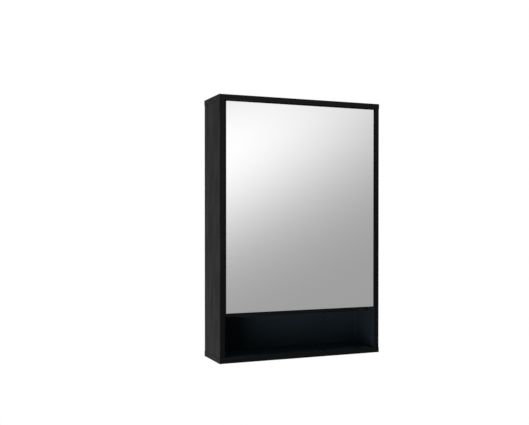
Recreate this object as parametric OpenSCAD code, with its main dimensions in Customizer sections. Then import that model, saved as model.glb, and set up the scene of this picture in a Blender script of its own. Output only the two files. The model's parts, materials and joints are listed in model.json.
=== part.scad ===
// A wall-hung bathroom cabinet: one mirror door over an open niche.
// The origin is midway between the two hanging holes, on the wall. X runs to the
// right, Y runs back into the wall, and Z runs up. Heights inside this file are
// counted from the cabinet's underside, and in_place() moves them to the origin.

/* [Cabinet] */
// Width over the ends of the top and bottom panels
cabinet_w = 501.5; // [440:0.5:600]
// Height over all
cabinet_h = 740; // [620:10:890]
// Depth from the wall to the face of the mirror
cabinet_d = 136; // [125:1:165]
// Thickness of the carcass, door and shelf boards
board_t = 15; // [14:1:18]
// How far the top and bottom panels stand out beyond the sides
end_reveal = 0.75; // [0:0.05:1.5]
// Clear height of the open niche
niche_h = 108; // [90:0.5:140]

/* [Edging and back] */
// Thickness of the plastic edging on the boards
edging_t = 1; // [0.5:0.1:2]
// Chamfer on the front corners of the edging
edging_chamfer = 0.3; // [0.1:0.1:0.4]
// Thickness of the back panel
back_t = 3; // [2.5:0.5:5]
// Depth of the groove that holds the back panel
groove_d = 6; // [4:0.5:8]
// Room around the back panel in its groove
groove_fit = 0.2; // [0.1:0.1:0.5]

/* [Hanging] */
// Distance between the two hanging holes
hang_spacing = 380; // [320:10:400]
// Radius of each hanging hole
hang_hole_r = 3; // [2.5:0.25:4]
// Distance from the cabinet's top down to the hanging holes
hang_drop = 50; // [40:1:60]
// Height of the hanging rail
hanging_rail_h = 75; // [70:1:100]
// Height of the lower rail
lower_rail_h = 50; // [40:1:80]

/* [Door] */
// Gap between the door and the carcass
door_gap = 3; // [1.5:0.1:3.5]
// How far the door hangs down past the top of the divider
door_lap = 0.5; // [0.5:0.5:8]
// Thickness of the mirror glass
mirror_t = 3; // [3:0.5:5]
// Thickness of the adhesive tape behind the mirror
tape_t = 1; // [0.5:0.1:2]
// Width of each adhesive tape
tape_w = 25; // [15:1:40]
// Distance between the adhesive tapes
tape_pitch = 100; // [60:5:110]

/* [Pivots] */
// Radius of the two pivot pins
pin_r = 1.5; // [1.5:0.1:2]
// Radial running clearance of a pin in its bush
pin_clearance = 0.05; // [0.02:0.01:0.1]
// Wall of the nylon bush around the pin
bush_wall = 1.2; // [1:0.1:1.4]
// Depth of the bush in the door
bush_len = 12; // [10:1:16]
// Thickness of the bush's flange in the gap over the door
bush_flange_t = 0.8; // [0.5:0.1:1]
// Board left between the bush and the front of the door board
bush_cover = 1.25; // [1:0.25:2]
// Gap left as the door's front corner passes the side panel
corner_clearance = 0.4; // [0.3:0.1:0.6]
// Room between the swinging door's rear corner and the shelves
swing_room = 8; // [2:0.5:10]
// Thickness of the pivot plates
plate_t = 2; // [1.5:0.5:3]
// Width of the pivot plate and of the bracket's arm
plate_w = 12; // [10:1:16]
// Width of the bracket's foot on the divider's front
foot_w = 34; // [34:1:44]
// Gap between the bracket's foot and the side panel
foot_gap = 1; // [0.5:0.5:2]

/* [Shelves] */
// Height of the lower shelf's underside over the divider
lower_shelf_rise = 184; // [120:4:200]
// Height of the upper shelf's underside over the divider
upper_shelf_rise = 384; // [300:4:390]
// Gap around a loose shelf
shelf_gap = 1; // [0.5:0.5:2]
// Radius of the holes for the shelf pins
pin_hole_r = 2.5; // [2:0.5:3]
// Depth of the holes for the shelf pins
pin_hole_d = 10; // [8:0.5:11]
// Distance between shelf holes in a row
pin_hole_pitch = 32; // [24:1:40]
// Radius of a shelf pin's head
pin_head_r = 3.5; // [3.5:0.5:5]
// Length of a shelf pin's head
pin_head_len = 8; // [6:1:12]

/* [Fittings] */
// Radial clearance of a dowel or screw in its hole
fastener_fit = 0.05; // [0.02:0.01:0.1]
// Radius of the dowels
dowel_r = 4; // [3:0.5:4]
// Length of a dowel in a board's end
dowel_end_len = 20; // [15:1:25]
// Length of the long carcass screws
carcass_screw_len = 48; // [40:1:60]
// Radius of the cap over a carcass screw
cap_r = 6; // [5.5:0.5:7]
// Radius of the cam in the divider
cam_r = 7.5; // [6:0.5:7.5]
// Distance from the side panel to the middle of a cam
cam_inset = 24; // [20:1:34]
// Distance of the magnetic catch from the door's free edge
catch_inset = 45; // [35:1:80]
// Distance of each door stop from the door's top or bottom edge
stop_inset = 70; // [40:1:100]
// Gap between the shut door and what it stops against
shut_gap = 0.3; // [0.2:0.1:0.6]

/* [Hidden] */
$fn = 48;

// Colours
charcoal = "#2e2f31";
black = "#191a1c";
nylon = "#1e1e1f";
steel = "#a9abad";
beech = "#c9a06a";

// A cutter reaches this far past the face that it opens
past = 1;

// Carcass
half_w = cabinet_w / 2;
side_out = half_w - end_reveal;
side_in = side_out - board_t;
side_mid = side_out - board_t / 2;
face_y = -cabinet_d;
board_front_y = face_y + edging_t;
back_front_y = -board_t - back_t;
inner_top = cabinet_h - board_t;
divider_under = board_t + niche_h;
divider_top = divider_under + board_t;
divider_mid = divider_under + board_t / 2;
hang_z = cabinet_h - hang_drop;
rail_mid_y = -board_t / 2;

// Door
door_half_w = side_in - door_gap;
door_low = divider_top - door_lap;
door_high = inner_top - door_gap;
door_h = door_high - door_low;
door_t = mirror_t + tape_t + board_t;
door_board_y = face_y + mirror_t + tape_t;
door_back_y = face_y + door_t;
tape_margin = 20;

// The pivot stands so far in from the door's edge that the front corner, which is
// pivot_depth in front of it, turns past the side panel with corner_clearance left.
bush_r = pin_r + pin_clearance + bush_wall;
pivot_depth = mirror_t + tape_t + bush_cover + bush_r;
turning_gap = door_gap - corner_clearance;
pivot_inset = (pivot_depth * pivot_depth - turning_gap * turning_gap) / (2 * turning_gap);
pivot_x = door_half_w - pivot_inset;
pivot_y = face_y + pivot_depth;
rear_corner_r = norm([pivot_inset, door_t - pivot_depth]);
inner_front_y = pivot_y + rear_corner_r + swing_room;
bush_flange_r = bush_r + 1;
pin_in_door = bush_len - 2;
washer_t = 1.2;
washer_gap = 0.2;
arm_top = door_low - bush_flange_t - washer_t - washer_gap;
plate_back_y = inner_front_y + 40;
plate_screw_steps = [12, 30];
foot_high_x = side_in - foot_gap;
foot_low_x = foot_high_x - foot_w;
foot_screw_margin = 6;
foot_screw_z = (divider_under + arm_top - plate_t) / 2;

// Shelves
shelf_under = [divider_top + lower_shelf_rise, divider_top + upper_shelf_rise];
shelf_front_y = inner_front_y + edging_t;
shelf_d = back_front_y - shelf_gap - shelf_front_y;
shelf_half_w = side_in - shelf_gap;
pin_rows_y = [inner_front_y + 15, back_front_y - 17];

// Dowels and carcass screws
dowel_face_len = board_t - 5;
carcass_screw_rows_y = [face_y + 25, -30];
carcass_dowel_y = (carcass_screw_rows_y[0] + carcass_screw_rows_y[1]) / 2;
cap_t = 0.8;
carcass_head_r = 5;
carcass_head_h = 3;
carcass_shank_r = 3.5;
carcass_thread_r = 2.5;
divider_mid_y = (inner_front_y + back_front_y) / 2;
divider_dowel_setback = 16;
divider_dowels_y = [inner_front_y + divider_dowel_setback, back_front_y - divider_dowel_setback];
foot_screw_len = plate_t + divider_dowel_setback - dowel_r - 1;
hanging_rail_mid = inner_top - hanging_rail_h / 2;
lower_rail_mid = board_t + lower_rail_h / 2;
hanging_dowel_step = 20;
lower_dowel_step = 12;

// Cam fittings
cam_h = 12;
cam_bolt_face_len = board_t - 5;
cam_bolt_thread_r = 2.5;
cam_bolt_shaft_r = 3;
cam_bolt_head_r = 3.8;
cam_bolt_head_len = 6;

// Small screws
screw_r = 1.5;
screw_head_r = 3;
screw_head_h = 1.7;
screw_tip = 3;

// Catch and stops
catch_x = catch_inset - door_half_w;
catch_w = 28;
catch_d = 34;
catch_h = 13;
catch_ear_w = 46;
catch_ear_d = 14;
catch_ear_t = 4;
catch_screw_step = 18;
catch_screw_len = 13;
magnet_w = 20;
magnet_d = 5;
magnet_h = 8;
magnet_proud = 0.4;
magnet_mid = divider_top + 7;
strike_w = 32;
strike_h = 12;
strike_t = 1.2;
strike_screw_step = 12;
strike_screw_len = 9;
stop_w = 12;
stop_h = 22;
stop_screw_len = 20;
bumper_r = 4;
bumper_t = 2;
bumper_x = -side_in + 7;
stop_mids = [door_low + stop_inset, door_high - stop_inset];
stop_front_y = door_back_y + shut_gap + bumper_t;
stop_back_y = inner_front_y - 1;
back_screw_xs = [-120, 0, 120];
back_screw_len = 14;

// Turns that point a screw's tip along an axis
to_up = [0, 0, 0];
to_left = [0, -90, 0];
to_front = [90, 0, 0];
to_back = [-90, 0, 0];
to_down = [180, 0, 0];

// Where the small screws stand: the middle of each head's face, and its turn
plate_screw_places = [for (step = plate_screw_steps)
    [[pivot_x, inner_front_y + step, inner_top], to_up]];
foot_screw_places = [for (x = [foot_low_x + foot_screw_margin, foot_high_x - foot_screw_margin])
    [[x, inner_front_y - plate_t, foot_screw_z], to_back]];
catch_screw_places = [for (s = [-1, 1])
    [[catch_x + s * catch_screw_step, inner_front_y + catch_ear_d / 2 + 2,
      divider_top + catch_ear_t], to_down]];
strike_screw_places = [for (s = [-1, 1])
    [[catch_x + s * strike_screw_step, door_back_y, magnet_mid], to_front]];
stop_screw_places = [for (z = stop_mids)
    [[stop_w - side_in, (stop_front_y + stop_back_y) / 2, z], to_left]];
back_screw_places = [for (x = back_screw_xs)
    [[x, back_front_y, hanging_rail_mid], to_back]];

module in_place() {
    translate([0, 0, -hang_z]) children();
}

// Repeats its children at the cabinet's left and right sides
module both_sides() {
    for (turn = [0, 1]) mirror([turn, 0, 0]) children();
}

// Repeats its children at the bottom and, upside down, at the top
module both_ends() {
    children();
    translate([0, 0, cabinet_h]) mirror([0, 0, 1]) children();
}

// A block from one corner to the other
module block(low, high) {
    translate(low) cube(high - low);
}

// Countersunk screw: its head's face is at the origin and its tip is on +Z
module small_screw(len, fit = 0) {
    rotate_extrude() polygon([
        [0, 0], [screw_head_r + fit, 0], [screw_r + fit, screw_head_h + fit],
        [screw_r + fit, len - screw_tip + fit], [0, len + fit]
    ]);
}

module small_screws(places, len) {
    for (place = places) translate(place[0]) rotate(place[1]) difference() {
        small_screw(len);
        for (turn = [0, 90]) rotate([0, 0, turn])
            translate([-screw_head_r / 2, -0.3, -past]) cube([screw_head_r, 0.6, 0.9 + past]);
    }
}

module small_screw_holes(places, len) {
    for (place = places) translate(place[0]) rotate(place[1]) {
        small_screw(len, fastener_fit);
        translate([0, 0, -past]) cylinder(h = past + 0.01, r = screw_head_r + fastener_fit);
    }
}

// Edging of a board's front, along X: w is the board's thickness
module flat_edging(x_low, x_high, y, z, w) {
    c = edging_chamfer;
    t = edging_t;
    translate([x_low, y, z]) rotate([90, 0, 90]) linear_extrude(x_high - x_low)
        polygon([[c, 0], [t, 0], [t, w], [c, w], [0, w - c], [0, c]]);
}

// Edging of a side panel's front, along Z
module upright_edging(x, y, z_low, z_high, w) {
    c = edging_chamfer;
    t = edging_t;
    translate([x, y, z_low]) linear_extrude(z_high - z_low)
        polygon([[0, c], [c, 0], [w - c, 0], [w, c], [w, t], [0, t]]);
}

// The long screw that holds a bottom panel to a side, head down, with its cap's recess
module carcass_screw(fit = 0) {
    neck = cap_t + carcass_head_h;
    shank_top = board_t - 3;
    rotate_extrude() polygon([
        [0, cap_t], [carcass_head_r + fit, cap_t], [carcass_shank_r + fit, neck],
        [carcass_shank_r + fit, shank_top], [carcass_thread_r + fit, shank_top + 1],
        [carcass_thread_r + fit, carcass_screw_len - 2], [0, carcass_screw_len + fit]
    ]);
}

module at_carcass_screws() {
    both_ends() both_sides() for (y = carcass_screw_rows_y)
        translate([side_mid, y, 0]) children();
}

module carcass_screw_holes() {
    at_carcass_screws() {
        carcass_screw(fastener_fit);
        translate([0, 0, -past]) cylinder(h = cap_t + past, r = cap_r + fastener_fit);
    }
}

module carcass_dowel_set(fit = 0) {
    both_ends() both_sides() translate([side_mid, carcass_dowel_y, board_t - dowel_face_len - fit])
        cylinder(h = dowel_face_len + dowel_end_len + 2 * fit, r = dowel_r + fit);
}

// A dowel along X, from inside a side panel to inside what stands between the sides
module cross_dowel(y, z, fit = 0) {
    both_sides() translate([side_in - dowel_end_len - fit, y, z]) rotate([0, 90, 0])
        cylinder(h = dowel_end_len + dowel_face_len + 2 * fit, r = dowel_r + fit);
}

module divider_dowel_set(fit = 0) {
    for (y = divider_dowels_y) cross_dowel(y, divider_mid, fit);
}

module rail_dowel_set(fit = 0) {
    for (s = [-1, 1]) {
        cross_dowel(rail_mid_y, hanging_rail_mid + s * hanging_dowel_step, fit);
        cross_dowel(rail_mid_y, lower_rail_mid + s * lower_dowel_step, fit);
    }
}

// Cam bolt along X: its thread is in the side panel and its head in the cam
module cam_bolt_set(fit = 0) {
    tip = side_in + cam_bolt_face_len;
    head_start = side_in - cam_inset;
    both_sides() translate([0, divider_mid_y, divider_mid]) rotate([0, 90, 0]) rotate_extrude()
        polygon([
            [0, head_start - fit], [cam_bolt_head_r + fit, head_start - fit],
            [cam_bolt_head_r + fit, head_start + cam_bolt_head_len],
            [cam_bolt_shaft_r + fit, head_start + cam_bolt_head_len],
            [cam_bolt_shaft_r + fit, side_in], [cam_bolt_thread_r + fit, side_in],
            [cam_bolt_thread_r + fit, tip + fit], [0, tip + fit]
        ]);
}

// The way in for the bolt's head, from the divider's end to the cam
module cam_bolt_holes() {
    both_sides() translate([side_in - cam_inset, divider_mid_y, divider_mid]) rotate([0, 90, 0])
        cylinder(h = cam_inset + past, r = cam_bolt_head_r + fastener_fit);
}

module cam_pockets() {
    both_sides() translate([side_in - cam_inset, divider_mid_y, divider_top - cam_h])
        cylinder(h = cam_h + past, r = cam_r + fastener_fit);
}

module shelf_pin_holes() {
    both_sides() for (under = shelf_under, y = pin_rows_y, step = [-1, 0, 1])
        translate([side_in - past, y, under - pin_head_r + step * pin_hole_pitch])
            rotate([0, 90, 0]) cylinder(h = pin_hole_d + past, r = pin_hole_r);
}

// The space that the back panel's edges stand in
module back_groove() {
    reach = side_in + groove_d;
    block([-reach, back_front_y - groove_fit, board_t - groove_d],
          [reach, -board_t, inner_top + groove_d]);
}

// A strip of plate from round the pivot back to back_y, thickened upwards from z
module pivot_strip(z, back_y, fit = 0) {
    w = plate_w / 2 + fit;
    translate([pivot_x, pivot_y, z]) cylinder(h = plate_t, r = w);
    block([pivot_x - w, pivot_y, z], [pivot_x + w, back_y + fit, z + plate_t]);
}

module pivot_hole(z_low, z_high, r) {
    translate([pivot_x, pivot_y, z_low]) cylinder(h = z_high - z_low, r = r);
}

// The room that a bush takes in the door's edge, at z_low to z_high
module bush_holes() {
    pivot_hole(door_high - bush_len, door_high + past, bush_r);
    pivot_hole(door_low - past, door_low + bush_len, bush_r);
}

module end_panel_cuts() {
    carcass_screw_holes();
    carcass_dowel_set(fastener_fit);
    back_groove();
}

module bottom_panel() {
    color(charcoal) in_place() difference() {
        block([-half_w, board_front_y, 0], [half_w, 0, board_t]);
        end_panel_cuts();
    }
}

module top_panel() {
    color(charcoal) in_place() difference() {
        block([-half_w, board_front_y, inner_top], [half_w, 0, cabinet_h]);
        end_panel_cuts();
        translate([0, 0, -past]) pivot_strip(inner_top, plate_back_y, fastener_fit);
        pivot_strip(inner_top, plate_back_y, fastener_fit);
        small_screw_holes(plate_screw_places, board_t - 3);
    }
}

// The right side panel; the left one is its mirror image
module side_panel_shape() {
    difference() {
        block([side_in, board_front_y, board_t], [side_out, 0, inner_top]);
        carcass_screw_holes();
        carcass_dowel_set(fastener_fit);
        back_groove();
        divider_dowel_set(fastener_fit);
        rail_dowel_set(fastener_fit);
        cam_bolt_set(fastener_fit);
        shelf_pin_holes();
    }
}

module right_side_panel() {
    color(charcoal) in_place() side_panel_shape();
}

module left_side_panel() {
    color(charcoal) in_place() difference() {
        mirror([1, 0, 0]) side_panel_shape();
        small_screw_holes(stop_screw_places, stop_screw_len);
    }
}

module divider() {
    color(charcoal) in_place() difference() {
        block([-side_in, inner_front_y + edging_t, divider_under],
              [side_in, back_front_y, divider_top]);
        divider_dowel_set(fastener_fit);
        cam_pockets();
        cam_bolt_holes();
        small_screw_holes(foot_screw_places, foot_screw_len);
        small_screw_holes(catch_screw_places, catch_screw_len);
    }
}

module back_panel() {
    reach = side_in + groove_d - groove_fit;
    color(black) in_place() difference() {
        block([-reach, back_front_y, board_t - groove_d + groove_fit],
              [reach, -board_t, inner_top + groove_d - groove_fit]);
        hanging_hole_set();
        small_screw_holes(back_screw_places, back_screw_len);
    }
}

module hanging_hole_set() {
    both_sides() translate([hang_spacing / 2, past, hang_z]) rotate([90, 0, 0])
        cylinder(h = board_t + back_t + 2 * past, r = hang_hole_r);
}

module hanging_rail() {
    color(charcoal) in_place() difference() {
        block([-side_in, -board_t, inner_top - hanging_rail_h], [side_in, 0, inner_top]);
        hanging_hole_set();
        rail_dowel_set(fastener_fit);
        small_screw_holes(back_screw_places, back_screw_len);
    }
}

module lower_rail() {
    color(charcoal) in_place() difference() {
        block([-side_in, -board_t, board_t], [side_in, 0, board_t + lower_rail_h]);
        rail_dowel_set(fastener_fit);
    }
}

module shelf(under) {
    color(charcoal) in_place()
        translate([-shelf_half_w, shelf_front_y, under]) cube([2 * shelf_half_w, shelf_d, board_t]);
}

module lower_shelf() shelf(shelf_under[0]);
module upper_shelf() shelf(shelf_under[1]);

module top_edging() {
    color(black) in_place() flat_edging(-half_w, half_w, face_y, inner_top, board_t);
}

module bottom_edging() {
    color(black) in_place() flat_edging(-half_w, half_w, face_y, 0, board_t);
}

module right_edging() {
    color(black) in_place() upright_edging(side_in, face_y, board_t, inner_top, board_t);
}

module left_edging() {
    color(black) in_place() upright_edging(-side_out, face_y, board_t, inner_top, board_t);
}

module divider_edging() {
    color(black) in_place() difference() {
        flat_edging(-side_in, side_in, inner_front_y, divider_under, board_t);
        small_screw_holes(foot_screw_places, foot_screw_len);
    }
}

module shelf_edgings() {
    color(black) in_place() for (under = shelf_under)
        flat_edging(-shelf_half_w, shelf_half_w, inner_front_y, under, board_t);
}

module door_board() {
    edge_x = door_half_w - edging_t;
    color(charcoal) in_place() difference() {
        block([-edge_x, door_board_y, door_low + edging_t],
              [edge_x, door_back_y, door_high - edging_t]);
        bush_holes();
        strike_plate_blank(fastener_fit);
        small_screw_holes(strike_screw_places, strike_screw_len);
    }
}

// Edging around the door board: two uprights, and two flats between them
module door_edgings() {
    edge_x = door_half_w - edging_t;
    color(black) in_place() {
        both_sides() block([edge_x, door_board_y, door_low], [door_half_w, door_back_y, door_high]);
        for (z = [door_low, door_high - edging_t]) difference() {
            block([-edge_x, door_board_y, z], [edge_x, door_back_y, z + edging_t]);
            bush_holes();
        }
    }
}

module mirror_glass() {
    color("#c9cdd0") in_place() block([-door_half_w, face_y, door_low],
                                      [door_half_w, face_y + mirror_t, door_high]);
}

module mirror_tapes() {
    color(black) in_place() for (s = [-1.5, -0.5, 0.5, 1.5])
        translate([s * tape_pitch - tape_w / 2, face_y + mirror_t, door_low + tape_margin])
            cube([tape_w, tape_t, door_h - 2 * tape_margin]);
}

module carcass_screws() {
    socket_r = 2.3;
    socket_d = 3;
    color(steel) in_place() at_carcass_screws() difference() {
        carcass_screw();
        translate([0, 0, cap_t - past]) cylinder(h = socket_d + past, r = socket_r, $fn = 6);
    }
}

module screw_caps() {
    stem_r = 1.8;
    stem_len = 2.5;
    color(black) in_place() at_carcass_screws() {
        cylinder(h = cap_t, r = cap_r);
        cylinder(h = cap_t + stem_len, r = stem_r);
    }
}

module carcass_dowels() {
    color(beech) in_place() carcass_dowel_set();
}

module divider_dowels() {
    color(beech) in_place() divider_dowel_set();
}

module rail_dowels() {
    color(beech) in_place() rail_dowel_set();
}

// A cam is open towards the side panel, where the bolt's head slides in
module cam_housings() {
    slot_w = 1.4;
    slot_len = 9;
    color(steel) in_place() difference() {
        both_sides() translate([side_in - cam_inset, divider_mid_y, divider_top - cam_h])
            cylinder(h = cam_h, r = cam_r);
        cam_bolt_holes();
        both_sides() for (turn = [45, 135])
            translate([side_in - cam_inset, divider_mid_y, divider_top]) rotate([0, 0, turn])
                cube([slot_len, slot_w, 2], center = true);
    }
}

module cam_bolts() {
    color(steel) in_place() cam_bolt_set();
}

module shelf_pins() {
    color(steel) in_place() both_sides() for (under = shelf_under, y = pin_rows_y)
        translate([side_in, y, under - pin_head_r]) rotate([0, 90, 0]) {
            translate([0, 0, -pin_head_len]) cylinder(h = pin_head_len, r = pin_head_r);
            cylinder(h = pin_hole_d - 1, r = pin_hole_r - fastener_fit);
        }
}

module upper_pivot_plate() {
    color(steel) in_place() difference() {
        pivot_strip(inner_top, plate_back_y);
        pivot_hole(inner_top - past, inner_top + plate_t + past, pin_r);
        small_screw_holes(plate_screw_places, board_t - 3);
    }
}

// An arm under the door's corner, bent down into a foot on the divider's front
module lower_pivot_bracket() {
    color(black) in_place() difference() {
        union() {
            pivot_strip(arm_top - plate_t, inner_front_y);
            block([foot_low_x, inner_front_y - plate_t, divider_under],
                  [foot_high_x, inner_front_y, arm_top]);
        }
        pivot_hole(arm_top - plate_t - past, arm_top + past, pin_r);
        small_screw_holes(foot_screw_places, foot_screw_len);
    }
}

module upper_pivot_pin() {
    color(steel) in_place() pivot_hole(door_high - pin_in_door, inner_top + plate_t, pin_r);
}

module lower_pivot_pin() {
    color(steel) in_place() pivot_hole(arm_top - plate_t, door_low + pin_in_door, pin_r);
}

// A flanged bush in the door's top edge, and one in its bottom edge
module pivot_bushes() {
    color(nylon) in_place() difference() {
        union() {
            pivot_hole(door_high - bush_len, door_high + bush_flange_t, bush_r);
            pivot_hole(door_high, door_high + bush_flange_t, bush_flange_r);
            pivot_hole(door_low - bush_flange_t, door_low + bush_len, bush_r);
            pivot_hole(door_low - bush_flange_t, door_low, bush_flange_r);
        }
        pivot_hole(door_low - bush_flange_t - past, door_high + past, pin_r + pin_clearance);
    }
}

// The washer that carries the door on the bracket's arm
module pivot_washer() {
    color(nylon) in_place() difference() {
        pivot_hole(arm_top, arm_top + washer_t, bush_flange_r);
        pivot_hole(arm_top - past, arm_top + washer_t + past, pin_r + fastener_fit);
    }
}

module pivot_screws() {
    color(steel) in_place() {
        small_screws(plate_screw_places, board_t - 3);
        small_screws(foot_screw_places, foot_screw_len);
    }
}

// The magnet's bar; its front face stands a little out of the housing
module magnet_blank(fit = 0) {
    front = door_back_y + shut_gap;
    block([catch_x - magnet_w / 2 - fit, front, magnet_mid - magnet_h / 2 - fit],
          [catch_x + magnet_w / 2 + fit, front + magnet_d + fit, magnet_mid + magnet_h / 2 + fit]);
}

module catch_housing() {
    front = door_back_y + shut_gap + magnet_proud;
    ear_y = inner_front_y + 2;
    color(black) in_place() difference() {
        union() {
            block([catch_x - catch_w / 2, front, divider_top],
                  [catch_x + catch_w / 2, front + catch_d, divider_top + catch_h]);
            block([catch_x - catch_ear_w / 2, ear_y, divider_top],
                  [catch_x + catch_ear_w / 2, ear_y + catch_ear_d, divider_top + catch_ear_t]);
        }
        magnet_blank(fastener_fit);
        small_screw_holes(catch_screw_places, catch_screw_len);
    }
}

module catch_magnet() {
    color("#5b5d60") in_place() magnet_blank();
}

module catch_screws() {
    color(steel) in_place() small_screws(catch_screw_places, catch_screw_len);
}

module strike_plate_blank(fit = 0) {
    block([catch_x - strike_w / 2 - fit, door_back_y - strike_t, magnet_mid - strike_h / 2 - fit],
          [catch_x + strike_w / 2 + fit, door_back_y + fit, magnet_mid + strike_h / 2 + fit]);
}

module strike_plate() {
    color(steel) in_place() difference() {
        strike_plate_blank();
        small_screw_holes(strike_screw_places, strike_screw_len);
    }
}

module strike_screws() {
    color(steel) in_place() small_screws(strike_screw_places, strike_screw_len);
}

// Blocks on the left side panel that the door's free edge stops against
module door_stops() {
    color(black) in_place() difference() {
        for (z = stop_mids) block([-side_in, stop_front_y, z - stop_h / 2],
                                  [stop_w - side_in, stop_back_y, z + stop_h / 2]);
        small_screw_holes(stop_screw_places, stop_screw_len);
    }
}

module bumper_pads() {
    color("#d9d9d6") in_place() for (z = stop_mids)
        translate([bumper_x, stop_front_y, z]) rotate([90, 0, 0]) cylinder(h = bumper_t, r = bumper_r);
}

module stop_screws() {
    color(steel) in_place() small_screws(stop_screw_places, stop_screw_len);
}

module back_panel_screws() {
    color(steel) in_place() small_screws(back_screw_places, back_screw_len);
}

top_panel();
bottom_panel();
left_side_panel();
right_side_panel();
divider();
back_panel();
hanging_rail();
lower_rail();
lower_shelf();
upper_shelf();
top_edging();
bottom_edging();
left_edging();
right_edging();
divider_edging();
shelf_edgings();
door_board();
door_edgings();
mirror_glass();
mirror_tapes();
carcass_screws();
screw_caps();
carcass_dowels();
divider_dowels();
rail_dowels();
cam_housings();
cam_bolts();
shelf_pins();
upper_pivot_plate();
lower_pivot_bracket();
upper_pivot_pin();
lower_pivot_pin();
pivot_bushes();
pivot_washer();
pivot_screws();
catch_housing();
catch_magnet();
catch_screws();
strike_plate();
strike_screws();
door_stops();
bumper_pads();
stop_screws();
back_panel_screws();
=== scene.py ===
# %% [markdown]
# # A mirror cabinet for a bathroom wall
# A narrow case of charcoal board hangs on the wall. One mirror fills the case's front
# as a door, and under it is an open niche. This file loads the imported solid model, remakes
# each piece with the rounding, threads and ground edges that plain solids lack, and gives
# every board and fitting its finish. The places all come from the solid model.

# %% Load the frame
import json
import math

import bmesh
import bpy
from mathutils import Matrix, Vector


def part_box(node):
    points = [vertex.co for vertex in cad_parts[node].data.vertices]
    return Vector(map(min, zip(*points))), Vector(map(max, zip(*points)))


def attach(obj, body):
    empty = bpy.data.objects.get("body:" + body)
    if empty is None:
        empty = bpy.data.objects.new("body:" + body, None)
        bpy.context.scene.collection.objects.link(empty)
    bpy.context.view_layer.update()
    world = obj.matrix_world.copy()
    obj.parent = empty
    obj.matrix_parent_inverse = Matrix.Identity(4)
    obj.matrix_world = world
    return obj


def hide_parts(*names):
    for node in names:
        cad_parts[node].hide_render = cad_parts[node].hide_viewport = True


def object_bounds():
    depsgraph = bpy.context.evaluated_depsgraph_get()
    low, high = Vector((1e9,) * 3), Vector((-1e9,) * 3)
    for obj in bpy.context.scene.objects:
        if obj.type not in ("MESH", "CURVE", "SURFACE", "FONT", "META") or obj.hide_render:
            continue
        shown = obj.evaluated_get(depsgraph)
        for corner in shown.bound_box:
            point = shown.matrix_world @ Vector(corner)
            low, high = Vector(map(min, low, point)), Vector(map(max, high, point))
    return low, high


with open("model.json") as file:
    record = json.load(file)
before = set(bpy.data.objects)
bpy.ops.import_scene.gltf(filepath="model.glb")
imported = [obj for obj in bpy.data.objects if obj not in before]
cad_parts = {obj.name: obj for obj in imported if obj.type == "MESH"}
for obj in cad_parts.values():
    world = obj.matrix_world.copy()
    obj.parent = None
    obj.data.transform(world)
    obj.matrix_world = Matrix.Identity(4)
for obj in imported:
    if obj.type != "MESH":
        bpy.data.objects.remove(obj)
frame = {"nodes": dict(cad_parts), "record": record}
nodes = frame["nodes"]
cad_low, cad_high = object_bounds()
MM = 0.001
print("cabinet, in metres:", [round(v, 4) for v in cad_high - cad_low])

# %% [markdown]
# ## The camera
# The camera stands a little over two metres away, to the left of the cabinet and just
# above its middle, with a lens a little longer than normal. `to_track_quat` turns a camera,
# which looks along its own -Z, so that it looks along a direction that we choose. A small
# vertical shift moves the picture up without tilting the cabinet's upright edges.

# %% Camera
EYE = Vector((-0.9244, -2.1049, -0.2917))
LOOK_RIGHT = math.radians(22.266)
LOOK_UP = math.radians(-0.580)
LENS_MM = 51.727
SENSOR_MM = 36.0
SHIFT_UP = 0.0265

camera_data = bpy.data.cameras.new("camera")
camera_data.lens = LENS_MM
camera_data.sensor_width = SENSOR_MM
camera_data.shift_y = SHIFT_UP
camera = bpy.data.objects.new("camera", camera_data)
bpy.context.scene.collection.objects.link(camera)
sight = Vector((
    math.sin(LOOK_RIGHT) * math.cos(LOOK_UP),
    math.cos(LOOK_RIGHT) * math.cos(LOOK_UP),
    math.sin(LOOK_UP),
))
camera.location = EYE
camera.rotation_euler = sight.to_track_quat("-Z", "Y").to_euler()
bpy.context.scene.camera = camera
print("camera is", round((EYE - (cad_low + cad_high) / 2).length, 3), "m from the middle")

# %% [markdown]
# ## Shader maths as Python
# A node tree is arithmetic drawn as boxes. The class below wraps one output socket, so that
# `mask * 0.5 + 0.2` adds the Math nodes for us. Everything else, such as a Noise texture or
# the shader itself, comes from its one method `node`, which takes the node's type, then its
# settings, and then what goes into its sockets.


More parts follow.
